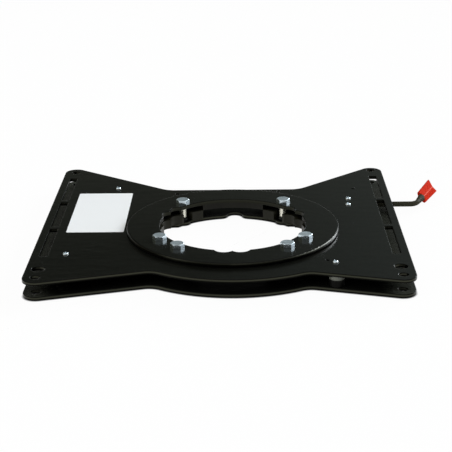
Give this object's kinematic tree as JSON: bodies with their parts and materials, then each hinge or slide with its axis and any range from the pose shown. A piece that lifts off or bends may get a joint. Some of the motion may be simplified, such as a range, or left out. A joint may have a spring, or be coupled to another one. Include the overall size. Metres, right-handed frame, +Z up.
{
  "type": "swivel seat base",
  "caption": "Flat swivel base for a camper seat: bow-tie plates turning on a bolted hub with a cable hole, locked by a side latch lever.",
  "frame": {"origin": "on the swivel axis, at the underside of the lower plate", "axes": "+Z up along the swivel axis, +X to the lever's side, +Y to the rear (the wider waist), away from the bulged front edge"},
  "size_m": [0.4496, 0.3559, 0.0288],
  "materials": {
    "black_coat": "satin black powder coat",
    "hub_coat": "thin brown-black coat on the hub's inner pieces",
    "zinc": "bright zinc plating, slightly blue",
    "slide_plastic": "graphite-filled acetal",
    "glide_plastic": "black acetal",
    "shim_plastic": "grey nylon",
    "spring_steel": "oiled spring steel",
    "grip_plastic": "satin red moulded plastic"
  },
  "bodies": {
    "lower": {"lower_plate": "black_coat", "press_nuts": "black_coat", "left_spacer": "hub_coat", "right_spacer": "hub_coat", "bearing_ring": "hub_coat", "lower_slide_ring": "slide_plastic", "upper_slide_ring": "slide_plastic", "retaining_disc": "black_coat", "hub_bolts": "zinc"},
    "upper": {"upper_plate": "black_coat", "glide_blocks": "glide_plastic", "glide_shims": "shim_plastic", "glide_screws": "zinc", "latch_bushes": "zinc", "latch_washers": "zinc", "latch_nuts": "zinc", "latch_screws": "zinc", "spring_anchor_pin": "black_coat", "return_spring": "spring_steel"},
    "latch": {"latch_plate": "black_coat", "lever_rod": "black_coat", "lever_grip": "grip_plastic"}
  },
  "joints": [
    {"name": "swivel", "type": "hinge", "parent": "lower", "child": "upper", "pos_m": [0, 0, 0], "axis": [0, 0, 1], "range_deg": [-180, 180]},
    {"name": "latch_lever", "type": "hinge", "parent": "upper", "child": "latch", "pos_m": [0.1319, 0.0912, 0.0102], "axis": [0, 0, 1], "range_deg": [-3.5, 0]}
  ]
}
